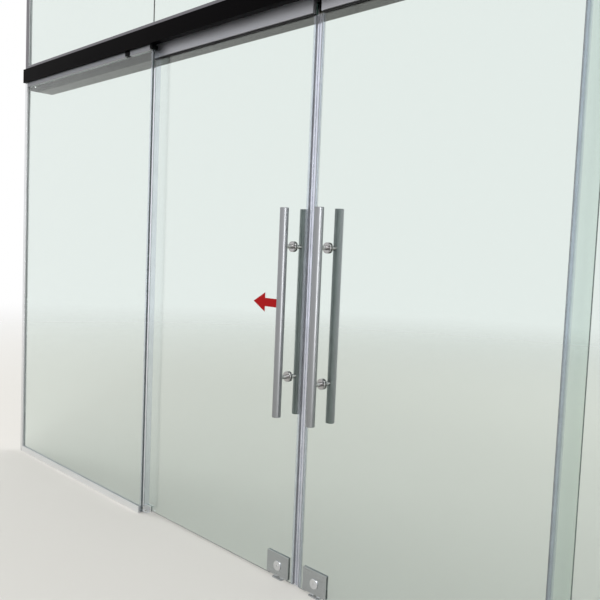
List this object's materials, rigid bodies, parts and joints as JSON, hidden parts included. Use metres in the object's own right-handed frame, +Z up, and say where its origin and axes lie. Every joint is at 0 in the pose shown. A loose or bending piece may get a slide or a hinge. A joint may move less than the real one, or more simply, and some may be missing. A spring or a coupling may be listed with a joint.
{
  "type": "sliding glass entrance door",
  "caption": "Frameless bi-parting sliding glass entrance with fixed side panes, black header, pull handles and floor locks",
  "frame": {"origin": "on the finished floor at the middle of the doorway, in the plane of the fixed glass", "axes": "+X to the right along the front as seen from the street, +Y into the building, +Z up"},
  "size_m": [5.36, 0.21, 3.15],
  "materials": {
    "black_header": "semi-gloss near-black coating",
    "bronze_cover": "satin dark grey-bronze coating",
    "primed_steel": "matt grey primer",
    "mill_aluminium": "mill extruded",
    "satin_aluminium": "satin silver anodised",
    "polished_channel": "bright polished",
    "brushed_stainless": "brushed along its length",
    "lock_stainless": "satin brushed",
    "lock_chrome": "bright",
    "bright_guide": "bright",
    "zinc_steel": "zinc plated",
    "black_clamp": "satin black",
    "black_rubber": "matt",
    "nylon": "turned",
    "clear_seal": "clear extruded, faint blue-grey",
    "clear_glass": "clear toughened, polished edges",
    "red_film": "printed self-adhesive film"
  },
  "bodies": {
    "frame": {"header_beam": "primed_steel", "header_fascia": "black_header", "header_cover": "bronze_cover", "header_end_plates": "black_header", "track": "mill_aluminium", "track_bolts": "zinc_steel", "track_stops": "black_rubber", "left_sidelite_glass": "clear_glass", "right_sidelite_glass": "clear_glass", "floor_channels": "polished_channel", "jamb_channels": "polished_channel", "head_channels": "satin_aluminium", "head_clamps": "black_clamp", "edge_seals": "clear_seal", "transom_panes": "clear_glass", "transom_channels": "satin_aluminium", "setting_blocks": "black_rubber", "glazing_strips": "black_rubber", "floor_guides": "bright_guide", "floor_keepers": "brushed_stainless"},
    "left_leaf": {"left_leaf_glass": "clear_glass", "left_rail_outer": "satin_aluminium", "left_rail_inner": "satin_aluminium", "left_rail_gaskets": "black_rubber", "left_rail_bolts": "zinc_steel", "left_rail_end_caps": "satin_aluminium", "left_hangers": "zinc_steel", "left_meeting_seal": "clear_seal", "left_pull_outside": "brushed_stainless", "left_pull_inside": "brushed_stainless", "left_pull_posts": "brushed_stainless", "left_pull_rosettes": "brushed_stainless", "left_lock_outer_plate": "lock_stainless", "left_lock_inner_plate": "lock_stainless", "left_lock_body": "lock_chrome", "left_arrow_sticker": "red_film"},
    "left_wheel_lead": {"left_wheel_lead": "nylon"},
    "left_wheel_trail": {"left_wheel_trail": "nylon"},
    "left_lock_turn": {"left_lock_turn": "lock_chrome"},
    "left_lock_bolt": {"left_lock_bolt": "zinc_steel"},
    "right_leaf": {"right_leaf_glass": "clear_glass", "right_rail_outer": "satin_aluminium", "right_rail_inner": "satin_aluminium", "right_rail_gaskets": "black_rubber", "right_rail_bolts": "zinc_steel", "right_rail_end_caps": "satin_aluminium", "right_hangers": "zinc_steel", "right_meeting_seal": "clear_seal", "right_pull_outside": "brushed_stainless", "right_pull_inside": "brushed_stainless", "right_pull_posts": "brushed_stainless", "right_pull_rosettes": "brushed_stainless", "right_lock_outer_plate": "lock_stainless", "right_lock_inner_plate": "lock_stainless", "right_lock_body": "lock_chrome"},
    "right_wheel_lead": {"right_wheel_lead": "nylon"},
    "right_wheel_trail": {"right_wheel_trail": "nylon"},
    "right_lock_turn": {"right_lock_turn": "lock_chrome"},
    "right_lock_bolt": {"right_lock_bolt": "zinc_steel"}
  },
  "joints": [
    {"name": "left_leaf_slide", "type": "slide", "parent": "frame", "child": "left_leaf", "axis": [-1, 0, 0], "range_m": [0, 0.94]},
    {"name": "left_wheel_lead_spin", "type": "hinge", "parent": "left_leaf", "child": "left_wheel_lead", "pos_m": [-0.224, 0.034, 2.5473], "axis": [0, 1, 0], "range_deg": [-2452, 2]},
    {"name": "left_wheel_trail_spin", "type": "hinge", "parent": "left_leaf", "child": "left_wheel_trail", "pos_m": [-1.01, 0.034, 2.5473], "axis": [0, 1, 0], "range_deg": [-2452, 2]},
    {"name": "left_lock_turn_hinge", "type": "hinge", "parent": "left_leaf", "child": "left_lock_turn", "pos_m": [-0.114, 0.052, 0.06], "axis": [0, 1, 0], "range_deg": [0, 90]},
    {"name": "left_lock_bolt_slide", "type": "slide", "parent": "left_leaf", "child": "left_lock_bolt", "axis": [0, 0, -1], "range_m": [0, 0.0201]},
    {"name": "right_leaf_slide", "type": "slide", "parent": "frame", "child": "right_leaf", "axis": [1, 0, 0], "range_m": [0, 0.94]},
    {"name": "right_wheel_lead_spin", "type": "hinge", "parent": "right_leaf", "child": "right_wheel_lead", "pos_m": [0.224, 0.034, 2.5473], "axis": [0, 1, 0], "range_deg": [-2, 2452]},
    {"name": "right_wheel_trail_spin", "type": "hinge", "parent": "right_leaf", "child": "right_wheel_trail", "pos_m": [1.01, 0.034, 2.5473], "axis": [0, 1, 0], "range_deg": [-2, 2452]},
    {"name": "right_lock_turn_hinge", "type": "hinge", "parent": "right_leaf", "child": "right_lock_turn", "pos_m": [0.114, 0.052, 0.06], "axis": [0, 1, 0], "range_deg": [0, 90]},
    {"name": "right_lock_bolt_slide", "type": "slide", "parent": "right_leaf", "child": "right_lock_bolt", "axis": [0, 0, -1], "range_m": [0, 0.0201]}
  ],
  "couplings": [
    {"joint": "left_wheel_lead_spin", "follows": "left_leaf_slide", "rad_per_m": -45.455},
    {"joint": "left_wheel_trail_spin", "follows": "left_leaf_slide", "rad_per_m": -45.455},
    {"joint": "left_lock_bolt_slide", "follows": "left_lock_turn_hinge", "m_per_rad": 0.01273},
    {"joint": "right_wheel_lead_spin", "follows": "right_leaf_slide", "rad_per_m": 45.455},
    {"joint": "right_wheel_trail_spin", "follows": "right_leaf_slide", "rad_per_m": 45.455},
    {"joint": "right_lock_bolt_slide", "follows": "right_lock_turn_hinge", "m_per_rad": 0.01273}
  ]
}
